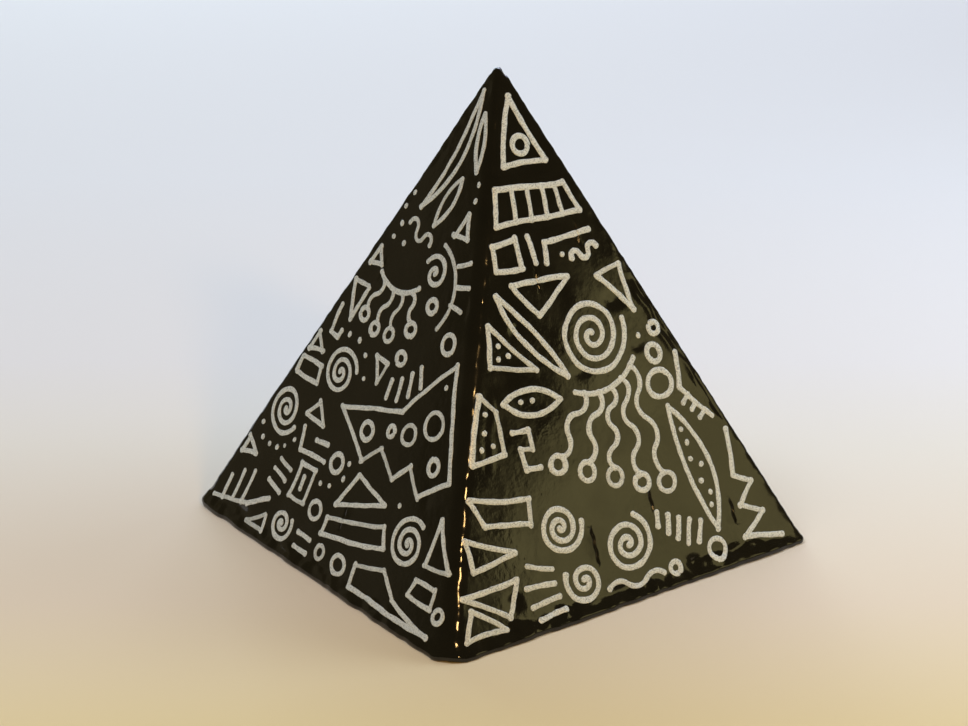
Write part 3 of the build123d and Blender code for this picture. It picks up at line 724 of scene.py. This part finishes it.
# Places are in mm, across the side from its middle and up along it from its foot. A dot is
# its middle, a ring its middle and radius, and a bar its two ends.
front_drawing = {
    "spirals": [
        spiral(5.6, 52.2, 8.0, 3, 10),
        spiral(-12.6, 18.4, 5.0, 2.5, 0),
        spiral(1.6, 11.4, 5.8, 2.5, 60),
        spiral(-10.6, 7.2, 4.4, 2, 150, -1),
    ],
    "rings": [ring(*size) for size in (
        (0, 90.9, 1.8), (20.4, 50.2, 1.2), (18.8, 45.4, 1.7), (18.4, 39.2, 2.8), (22.4, 4.8, 2.1),
        (11.4, 3.8, 1.2),
    )],
    "dots": [dot(x, y) for x, y in (
        (16.4, 49.4), (3.4, 68.6), (-16.3, 54.4), (-14.6, 52.2), (-17.0, 52.0), (-14.4, 43.2),
        (-11.8, 42.8), (-23.0, 42.6), (-24.2, 39.2), (-25.6, 36.4), (-23.0, 36.6), (20.9, 29.2),
        (21.6, 26.4), (21.4, 23.2), (23.5, 21.6), (22.6, 18.6), (24.2, 15.8), (23.7, 13.4),
    )],
    "triangles": [
        loop((0, 100.4), (-5.0, 87.2), (5.0, 87.2)),
        loop((-10.2, 65.0), (3.2, 64.2), (-5.2, 58.4)),
        loop((10.2, 62.9), (16.2, 64.3), (16.6, 54.6)),
        loop((-19.4, 50.8), (-17.2, 58.6), (-9.2, 48.2)),
        loop((-34.4, 21.2), (-34.0, 15.4), (-24.2, 16.4)),
        loop((-37.6, 11.0), (-25.4, 11.4), (-28.8, 5.2)),
        loop((-39.2, 3.3), (-36.4, 8.4), (-30.4, 3.3)),
    ],
    "boxes": [
        loop((-12.2, 73.2), (-12.6, 68.2), (-6.6, 67.8), (-6.4, 73.4)),
        loop((-31.2, 28.0), (-29.4, 23.0), (-19.0, 20.8), (-18.2, 25.2)),
        loop((-23.6, 46.2), (-28.4, 34.2), (-21.0, 34.6), (-20.6, 42.6)),
        joined(
            loop((-8.2, 83.4), (-9.8, 76.4), (10.0, 76.4), (7.8, 82.2)),
            bar(-5.2, 76.4, -4.6, 83.0),
            bar(-1.4, 76.4, -1.0, 82.8),
            bar(2.2, 76.4, 2.4, 82.6),
            bar(5.8, 76.4, 5.4, 82.4),
        ),
    ],
    "leaves": [
        leaf(-14.0, 63.6, -2.4, 45.6, 1.0, 2.2),
        leaf(-18.4, 43.6, -5.4, 41.6, 2.4, 2.6),
        leaf(19.0, 34.2, 24.0, 8.6, 4.2, 1.6),
    ],
    "bars": [bar(*ends) for ends in (
        (-3.4, 73.2, -3.0, 68.2), (10.2, 15.4, 9.6, 12.6), (12.6, 14.2, 11.6, 10.8),
        (15.0, 13.2, 13.6, 9.2), (17.6, 12.2, 15.8, 7.6), (20.2, 11.2, 18.4, 7.2),
        (-17.0, 11.2, -22.4, 13.2), (-17.2, 8.4, -23.6, 9.2), (-17.2, 5.8, -23.4, 5.6),
        (-16.4, 3.2, -22.2, 2.9),
    )],
    "zigzags": [
        path((-0.6, 67.6), (0.2, 71.6), (10.6, 72.4)),
        wave(5.4, 67.4, 11.6, 68.8, 3, 1.2),
        path((31.6, 27.0), (30.4, 17.6), (35.0, 15.8), (30.6, 11.4), (36.0, 8.8), (30.0, 5.0), (39.4, 3.2)),
        path((-18.2, 38.2), (-14.4, 37.8), (-14.8, 34.2), (-17.4, 34.4), (-17.0, 30.6), (-13.8, 30.2)),
        wave(-5.2, 4.0, 8.6, 3.6, 3, 0.9),
        joined(
            path((24.0, 44.6), (23.0, 37.6), (29.2, 30.2)),
            bar(24.7, 35.6, 23.2, 34.3),
            bar(26.3, 33.7, 24.8, 32.4),
            bar(27.9, 31.8, 26.4, 30.5),
        ),
    ],
    "tassels": [
        joined(
            bow(-1.4, 42.0, 13.8, 45.6, -2.6),
            tassel(0.4, 41.4, -8.6, 31.2, 3, 1.2, 1.7),
            tassel(3.7, 40.9, -2.6, 28.8, 3, 1.2, 1.8),
            tassel(6.8, 41.3, 3.0, 26.2, 4, 1.2, 1.8),
            tassel(9.8, 42.4, 8.8, 23.4, 4, 1.2, 1.7),
            tassel(12.5, 44.3, 14.4, 22.4, 4, 1.2, 1.9),
        ),
    ],
}
draw_side("front", front_drawing, 0)

# ------------------------------------------------------------------ the left drawing
# A rayed bow and four tassels over a jagged shape full of rings, in the same marker.
left_drawing = {
    "spirals": [
        spiral(4.0, 65.2, 3.6, 1.5, 150),
        spiral(-13.8, 39.4, 5.0, 2.5, 20, -1),
        spiral(-26.6, 27.2, 5.3, 2.5, 330),
        spiral(23.0, 16.4, 5.2, 2.5, 60, -1),
        spiral(-15.4, 6.2, 3.6, 2, 30),
    ],
    "rings": [ring(*size) for size in (
        (6.4, 59.2, 1.4), (14.8, 54.0, 1.9), (2.6, 47.2, 1.3), (0.2, 31.6, 1.8), (7.2, 33.8, 1.1),
        (12.6, 34.8, 2.0), (18.8, 38.6, 2.6), (22.6, 31.8, 1.5), (-5.2, 22.6, 1.9), (37.9, 7.6, 1.3),
        (5.8, 5.4, 1.9), (-0.8, 5.4, 1.4), (-6.6, 12.4, 1.8),
    )],
    "dots": [dot(x, y) for x, y in (
        (7.2, 84.2), (7.9, 81.0), (-10.4, 78.0), (-11.6, 74.8), (-11.0, 71.4), (-12.2, 68.4),
        (-8.6, 68.0), (-15.0, 47.0), (-11.4, 46.8), (-8.2, 44.6), (-6.2, 40.4), (17.0, 22.0),
        (-32.6, 22.4), (-31.2, 19.6), (-28.4, 19.0), (-25.6, 19.2), (-23.2, 20.2), (-20.6, 22.4),
        (-1.4, 23.8), (-1.6, 20.6), (-5.0, 18.0), (-8.0, 17.4), (18.6, 46.4),
    )],
    "triangles": [
        loop((7.4, 78.0), (9.8, 73.4), (5.4, 73.2)),
        loop((-14.6, 65.6), (-16.4, 61.8), (-12.8, 62.0)),
        loop((-19.2, 57.4), (-14.2, 57.0), (-16.6, 49.8)),
        loop((-24.4, 44.6), (-26.0, 40.4), (-21.4, 41.2)),
        loop((-16.6, 31.8), (-19.4, 28.4), (-13.2, 27.8)),
        loop((-4.6, 45.6), (-0.6, 45.0), (-2.0, 40.8)),
        loop((-35.0, 18.2), (-36.4, 14.6), (-31.6, 15.8)),
        loop((2.8, 22.8), (12.8, 20.4), (-1.0, 15.6)),
        loop((30.2, 23.6), (36.6, 15.4), (29.4, 14.8)),
        loop((-21.4, 5.9), (-27.0, 2.9), (-20.6, 2.9)),
    ],
    "boxes": [
        loop((-27.0, 38.6), (-27.4, 35.2), (-19.8, 35.2), (-20.0, 38.4)),
        loop((-15.8, 19.2), (-16.4, 12.0), (-11.0, 12.2), (-10.8, 19.0)),
        loop((-2.2, 12.6), (-2.4, 9.2), (16.8, 13.0), (14.8, 17.0)),
        loop((28.6, 11.2), (27.8, 8.2), (35.0, 8.0), (34.6, 11.4)),
        loop((10.4, 7.4), (19.0, 9.4), (24.0, 5.6), (37.0, 3.0), (10.8, 3.2)),
        loop((-9.6, 33.6), (8.4, 38.4), (19.4, 51.2), (28.2, 30.4), (20.8, 25.2),
             (16.2, 29.6), (12.2, 25.4), (6.4, 29.8), (1.8, 25.8)),
    ],
    "leaves": [
        leaf(-0.6, 101, -7.0, 76, 3.6, -1.0),
        leaf(2.1, 97.0, 5.1, 86.4, 1.0, 1.1),
        leaf(1.8, 84.0, -1.4, 73.6, 1.8, 1.4),
    ],
    "bars": [bar(*ends) for ends in (
        (2.2, 39.2, 2.2, 42.8), (5.4, 40.0, 5.0, 43.8), (8.4, 41.6, 7.4, 45.4), (11.0, 44.2, 9.4, 47.4),
        (-13.6, 24.6, -9.8, 24.8), (-22.8, 17.6, -18.6, 16.6), (-23.6, 15.2, -19.2, 14.0),
        (-24.2, 12.6, -19.8, 11.4), (-13.6, 16.8, -13.7, 14.4), (-9.2, 6.8, -5.0, 6.6),
        (-9.4, 3.9, -5.2, 3.6),
    )],
    "zigzags": [
        path((-20.6, 51.8), (-20.8, 45.6), (-18.2, 45.2), (-17.8, 46.8)),
        path((-18.6, 25.8), (-17.8, 21.4), (-9.4, 21.4)),
        wave(-8.6, 72.4, -0.6, 69.8, 3, 1.4),
        joined(
            path((-40.2, 3.4), (-28.8, 5.8), (-22.2, 9.2)),
            bar(-37.4, 4.0, -36.8, 8.8),
            bar(-34.2, 4.7, -33.2, 11.4),
            bar(-31.0, 5.3, -29.8, 12.4),
        ),
        joined(
            bow(4.0, 70.8, 9.8, 55.6, 4.2),
            bar(9.9, 68.4, 12.8, 69.6),
            bar(11.2, 64.6, 14.6, 65.2),
            bar(11.2, 61.0, 14.6, 60.6),
        ),
    ],
    "tassels": [
        joined(
            bow(-11.8, 60.8, 0.8, 61.2, -2.2),
            tassel(-10.2, 59.7, -12.4, 53.2, 2, 0.8, 1.3),
            tassel(-6.6, 58.8, -8.0, 51.6, 2, 0.8, 1.3),
            tassel(-3.4, 58.9, -3.2, 51.8, 2, 0.8, 1.4),
            tassel(-0.6, 60.0, 2.0, 54.4, 2, 0.8, 1.4),
        ),
    ],
}
draw_side("left", left_drawing, 3, 0.92 * LINE_WIDTH)

# ------------------------------------------------------------------ the right drawing
# A rayed spiral in the middle, with leaves above and a row of shapes below.
right_drawing = {
    "spirals": [
        spiral(0, 39, 8.6, 3, 90),
        spiral(-25.0, 13.0, 5.8, 2.5, 0),
        spiral(25.6, 14.0, 5.4, 2.5, 180, -1),
        spiral(-1.4, 66.6, 4.4, 2, 60, -1),
    ],
    "rings": [ring(*size) for size in (
        (0.2, 88.0, 1.6), (9.4, 67.6, 1.5), (-12.4, 56.0, 2.1), (17.6, 52.0, 1.4), (-19.2, 43.8, 1.3),
        (8.8, 20.4, 2.2), (-9.2, 20.2, 1.6), (37.4, 6.8, 1.4), (12.4, 5.2, 1.9), (-14.4, 5.4, 2.0),
    )],
    "dots": [dot(x, y) for x, y in (
        (-5.4, 80.8), (5.8, 80.4), (12.2, 61.6), (-16.0, 60.0), (14.8, 58.4), (-17.8, 50.4),
        (21.6, 45.2), (-24.4, 35.4), (25.2, 35.4), (-25.6, 28.4), (26.2, 27.6), (0, 23.2), (-3.2, 20.6),
        (3.0, 20.4), (-34.3, 20.4), (34.6, 19.4), (-33.2, 4.6),
    )],
    "triangles": [
        loop((0.2, 99.8), (-4.4, 84.2), (4.8, 84.2)),
        loop((-10.8, 73.0), (-12.2, 63.4), (-7.8, 66.4)),
        loop((18.4, 49.0), (15.0, 45.0), (20.6, 40.0)),
        loop((-29.8, 29.8), (-33.4, 23.2), (-27.0, 23.4)),
        loop((30.4, 29.4), (28.0, 22.8), (33.6, 23.2)),
        loop((-40.2, 3.3), (-36.2, 10.4), (-34.4, 7.4)),
        loop((-4.6, 3.4), (0.4, 10.8), (4.8, 3.4)),
    ],
    "boxes": [
        loop((-5.6, 77.6), (-7.2, 73.4), (8.2, 73.4), (6.6, 77.6)),
        loop((-21.6, 31.4), (-22.6, 22.6), (-16.4, 22.2), (-16.0, 28.6)),
        loop((17.0, 28.4), (15.6, 22.4), (22.4, 22.0), (23.4, 30.6)),
        loop((19.4, 6.6), (18.2, 3.4), (33.4, 3.2), (30.8, 6.4)),
    ],
    "leaves": [
        leaf(2.8, 71.0, 6.6, 57.4, 1.6, 1.2),
        leaf(-2.8, 60.4, -8.6, 52.6, 1.8, 1.6),
        leaf(-21.6, 47.2, -25.0, 39.6, 0.9, 1.1),
        leaf(9.4, 15.0, -8.6, 14.8, 2.0, -0.2),
    ],
    "bars": [
        *rays(0, 39, 14, 11.0, 13.8, 0),
        bar(-32.0, 17.4, -35.6, 17.8),
        bar(-32.8, 14.2, -37.0, 14.2),
        bar(-31.6, 9.4, -34.0, 11.0),
        bar(-25.8, 5.0, -18.8, 3.4),
    ],
    "zigzags": [
        wave(10.6, 54.8, 3.6, 54.6, 3, 1.2),
        path((-20.8, 19.4), (-16.6, 15.2), (-13.6, 18.6), (-11.8, 12.4), (-17.4, 10.0)),
        path((12.6, 18.2), (15.6, 13.2), (11.2, 10.6), (17.6, 9.2)),
        wave(22.6, 33.8, 17.4, 37.4, 2, 1.0),
    ],
    "tassels": [
        joined(
            bow(32.2, 17.0, 37.6, 12.2, 1.0),
            tassel(33.9, 16.8, 32.8, 11.4, 2, 0.6, 1.2),
        ),
        joined(
            bow(-11.8, 8.6, -5.2, 11.6, -1.2),
            tassel(-8.0, 8.9, -7.4, 5.4, 1, 0.5, 1.1),
        ),
    ],
}
draw_side("right", right_drawing, 1)

# ------------------------------------------------------------------ the back drawing
# Nested triangles over two long waves, a fringe, and a zigzag along the base.
back_drawing = {
    "spirals": [
        spiral(-20.6, 38.0, 4.6, 2, 0, -1),
        spiral(20.8, 37.4, 4.8, 2, 200),
        spiral(-28.0, 17.6, 5.0, 2.5, 250, -1),
        spiral(28.4, 18.2, 5.0, 2.5, 20),
    ],
    "rings": [ring(*size) for size in (
        (-0.4, 92.6, 1.7), (0, 80.6, 2.6), (-14.0, 58.6, 1.4), (14.4, 58.0, 1.6), (19.4, 46.8, 1.3),
        (-33.8, 6.0, 1.8), (34.0, 5.8, 1.8),
    )],
    "dots": [dot(x, y) for x, y in (
        (0, 98.0), (0, 87.4), (-6.4, 82.0), (6.6, 81.6), (0, 53.0), (-3.2, 50.6), (3.2, 50.6),
        (-16.6, 54.4), (17.8, 53.6), (-19.8, 46.8), (-11.8, 31.4), (12.0, 31.2), (-35.6, 14.0),
        (36.0, 13.0), (-30.0, 27.4), (30.4, 27.2), (0, 7.4),
    )],
    "triangles": [
        loop((-13.2, 45.6), (13.2, 45.6), (0, 67.8)),
        loop((-7.8, 48.0), (7.8, 48.0), (0, 60.4)),
        loop((-10.2, 72.6), (-12.6, 64.6), (-7.2, 65.0)),
        loop((10.4, 72.4), (7.4, 64.8), (12.8, 64.2)),
        loop((-21.0, 27.2), (-16.2, 27.6), (-18.6, 20.6)),
        loop((21.2, 26.8), (16.4, 27.4), (18.8, 20.4)),
    ],
    "boxes": [
        loop((-4.4, 75.4), (-5.4, 71.0), (5.4, 71.0), (4.4, 75.4)),
        loop((-24.4, 33.0), (-28.0, 30.4), (-25.4, 25.6), (-23.6, 27.4)),
        loop((24.6, 32.4), (28.0, 29.8), (25.6, 25.4), (23.8, 27.0)),
        loop((-4.2, 4.6), (-3.6, 10.4), (3.8, 10.2), (4.4, 4.4)),
    ],
    "leaves": [
        leaf(-12.6, 10.6, -20.6, 13.8, 1.4, 1.2),
        leaf(12.8, 10.8, 20.8, 13.4, 1.4, 1.2),
    ],
    "bars": [bar(*ends) for ends in (
        (-22.4, 49.2, -23.6, 43.8), (-20.0, 53.8, -21.0, 50.0), (21.9, 50.6, 23.3, 45.0),
        (-27.6, 37.6, -29.0, 34.0), (27.6, 36.8, 28.9, 33.4), (-7.6, 4.2, -7.8, 9.6),
        (7.8, 4.0, 7.8, 9.4),
    )],
    "zigzags": [
        wave(-13.8, 41.8, 13.8, 41.8, 7, 0.9),
        wave(-12.6, 38.2, 12.8, 38.2, 6, 0.9),
        path((-38.6, 3.4), (-36.4, 9.4), (-34.2, 9.6)),
        path((-29.6, 4.0), (-26.0, 9.6), (-22.2, 4.0), (-18.2, 9.4), (-14.6, 4.0), (-11.0, 7.4)),
        path((29.8, 3.8), (26.2, 9.4), (22.4, 3.8), (18.4, 9.2), (14.8, 3.8), (11.2, 7.2)),
        path((39.4, 3.4), (37.4, 8.8)),
    ],
    "tassels": [
        joined(
            bow(-9.8, 34.6, 10.0, 34.6, -1.6),
            tassel(-8.4, 34.2, -11.4, 22.6, 3, 1.0, 1.6),
            tassel(-4.4, 33.3, -5.4, 18.8, 4, 1.0, 1.7),
            tassel(0.2, 33.0, 0.2, 16.6, 4, 1.0, 1.7),
            tassel(4.6, 33.3, 5.8, 18.6, 4, 1.0, 1.7),
            tassel(8.6, 34.2, 11.8, 22.4, 3, 1.0, 1.6),
        ),
    ],
}
draw_side("back", back_drawing, 2)

# ------------------------------------------------------------------ floor, light and camera
# A plain floor of matt paper whose colour carries painted warm light: sand-yellow at the front, paling to
# white behind, along the camera's level heading. Over it, soft cool light from the back, two softboxes at
# the sides and a small warm bulb in front.
floor_paper_painted_light, tree, shader, place = new_material("matt_paper_with_painted_warm_light")
CAMERA_LEVEL_HEADING = (0.5925, 0.8056, 0)        # level direction the camera looks along, from the front of the floor to its back
PAINTED_LIGHT_SPAN = (-0.085, 0.24)           # where along it the painted warm light starts and stops fading to white, in metres
FLOOR_DROP = 0.05 * MM            # keeps the paper just clear of the base
depth = add(tree, "ShaderNodeVectorMath", {0: place, 1: CAMERA_LEVEL_HEADING}, operation="DOT_PRODUCT")
share = add(tree, "ShaderNodeMapRange", {
    "Value": depth.outputs["Value"], "From Min": PAINTED_LIGHT_SPAN[0], "From Max": PAINTED_LIGHT_SPAN[1],
})
# Painted light: the paper goes from warm sand at the front to white behind, standing in for a warm light
# pool near the camera.
tint = add(tree, "ShaderNodeValToRGB", {"Fac": share}, stops=[
    (0.0, "#e6d29e"), (0.15, "#e7d6ba"), (0.38, "#e7e0d0"), (0.54, "#e7e3dd"), (1.0, "#e7e7e5"),
])
tree.links.new(tint.outputs["Color"], shader.inputs["Base Color"])
shader.inputs["Roughness"].default_value = 0.85
bpy.ops.mesh.primitive_plane_add(size=6.0, location=(0, 0, -FLOOR_DROP))
floor = bpy.context.object
floor.name = "floor"
floor.data.materials.append(floor_paper_painted_light)

world = bpy.data.worlds.new("studio")
world.use_nodes = True
world.node_tree.nodes["Background"].inputs["Color"].default_value = linear("#ffe7a4")
world.node_tree.nodes["Background"].inputs["Strength"].default_value = 0.145
bpy.context.scene.world = world
bpy.context.scene.view_settings.view_transform = "Standard"


def soft_light(name, at, target, size, watts, colour, mirrored=True):
    """A square softbox that points at target and isn't seen itself."""
    lamp = bpy.data.lights.new(name, "AREA")
    lamp.size = size
    lamp.energy = watts
    lamp.color = linear(colour)[:3]
    holder = bpy.data.objects.new(name, lamp)
    bpy.context.scene.collection.objects.link(holder)
    holder.location = at
    holder.rotation_euler = (Vector(target) - Vector(at)).to_track_quat("-Z", "Y").to_euler()
    holder.visible_camera = False
    holder.visible_glossy = mirrored


soft_light("window_far", (0.50, 1.30, 0.50), (0.50, 0.85, 0), 0.8, 11.3, "#cfe2ee")
soft_light("window_right", (0.95, 0.70, 0.60), (0.62, 0.50, 0), 0.8, 5.9, "#cdd3f2")
soft_light("left_softbox", (-0.55, 0.15, 1.05), (-0.03, 0.01, 0.03), 0.4, 7.0, "#dfe8ff", mirrored=False)
soft_light("right_softbox", (0.33, -0.17, 0.24), (0.01, -0.03, 0.04), 0.25, 0.95, "#d5e6ff", mirrored=False)
soft_light("bulb", (-0.17, -0.84, 0.545), (0, 0, 0.03), 0.11, 2.2, "#ffcb81")

# Two dim yellowish cards with cut edges stand where the front and left sides mirror them.
# They make the lower right of the front side shine, and lift the left side a little but
# for a strip along the front edge. Their own mottling breaks the shine up.
MOTTLE_SCALE = 28.0               # for patches of about 36 mm
FRONT_CARD = (
    (-0.100, 0.066), (-0.048, 0.067), (-0.031, 0.056), (-0.010, 0.041), (0.008, 0.021), (0.029, 0.018),
    (0.041, 0.003), (0.057, -0.008), (0.069, -0.030), (0.079, -0.052), (0.084, -0.095), (-0.100, -0.110),
)
LEFT_CARD = (
    (0.062, 0.150), (0.041, 0.112), (0.022, 0.086), (0.007, 0.057), (-0.012, 0.034), (-0.027, 0.008),
    (-0.047, -0.018), (-0.062, -0.044), (-0.084, -0.080), (-0.104, -0.130), (0.130, -0.130), (0.130, 0.150),
)


def mirrored_card(name, outline, at, target, colour, dim, bright):
    """A glowing card that faces target and shows only in the gloss."""
    material = bpy.data.materials.new(f"dim_{name}")
    material.use_nodes = True
    tree = material.node_tree
    tree.nodes.clear()
    place = add(tree, "ShaderNodeTexCoord").outputs["Object"]
    mottle = add(tree, "ShaderNodeTexNoise", {
        "Vector": place, "Scale": MOTTLE_SCALE, "Detail": 4.0, "Roughness": 0.6,
    })
    strength = add(tree, "ShaderNodeMapRange", {
        "Value": mottle, "From Min": 0.35, "From Max": 0.65, "To Min": dim, "To Max": bright,
    })
    glow = add(tree, "ShaderNodeEmission", {"Color": linear(colour), "Strength": strength})
    add(tree, "ShaderNodeOutputMaterial", {"Surface": glow})
    mesh = bpy.data.meshes.new(name)
    mesh.from_pydata([(u, v, 0) for u, v in outline], [], [tuple(range(len(outline)))])
    mesh.materials.append(material)
    card = bpy.data.objects.new(name, mesh)
    bpy.context.scene.collection.objects.link(card)
    card.location = at
    card.rotation_euler = (Vector(target) - Vector(at)).to_track_quat("Z", "Y").to_euler()
    card.visible_camera = False
    card.visible_shadow = False


FRONT_PLACE, FRONT_TARGET = (0.3596, -0.5077, 0.1983), (0, -0.0325, 0.0273)
LEFT_PLACE, LEFT_TARGET = (-0.4176, 0.4771, 0.1143), (-0.0304, 0, 0.0318)
mirrored_card("card", FRONT_CARD, FRONT_PLACE, FRONT_TARGET, "#ffeea2", 1.15, 1.75)
mirrored_card("left_card", LEFT_CARD, LEFT_PLACE, LEFT_TARGET, "#ffe9b1", 0.19, 0.25)

lens = bpy.data.cameras.new("camera")
lens.sensor_width = 36.0
lens.lens = 89.3
camera = bpy.data.objects.new("camera", lens)
bpy.context.scene.collection.objects.link(camera)
camera.location = (-268.6 * MM, -360.8 * MM, 213.2 * MM)
heading = Vector((0.5509, 0.7492, -0.3678))
camera.rotation_euler = heading.to_track_quat("-Z", "Y").to_euler()
bpy.context.scene.camera = camera
